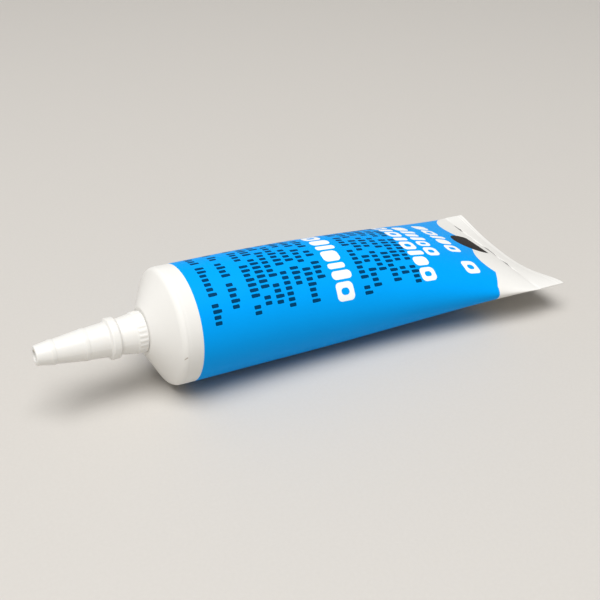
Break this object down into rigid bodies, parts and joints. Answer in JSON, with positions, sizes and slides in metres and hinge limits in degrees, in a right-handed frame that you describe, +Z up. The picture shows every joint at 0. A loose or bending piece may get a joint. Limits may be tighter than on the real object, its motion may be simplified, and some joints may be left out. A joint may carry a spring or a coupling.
{
  "type": "caulk tube",
  "caption": "Sealed squeeze tube of caulk lying on its back, round at the shoulder and flat at the heat seal, with a hollow stepped screw-on nozzle.",
  "frame": {"origin": "centre of the bounding box at the surface that the tube lies on", "axes": "+X from the nozzle to the flat seal, +Z up through the printed face of the lying tube"},
  "size_m": [0.19, 0.063, 0.0423],
  "materials": {
    "printed_sleeve": null,
    "nozzle_plastic": "smooth white moulded plastic"
  },
  "bodies": {
    "tube": {"tube": "printed_sleeve"},
    "nozzle": {"nozzle": "nozzle_plastic"}
  },
  "joints": [
    {"name": "nozzle_unscrew", "type": "slide", "parent": "tube", "child": "nozzle", "axis": [-0.9975, 0, 0.07], "range_m": [0, 0.0109]}
  ]
}
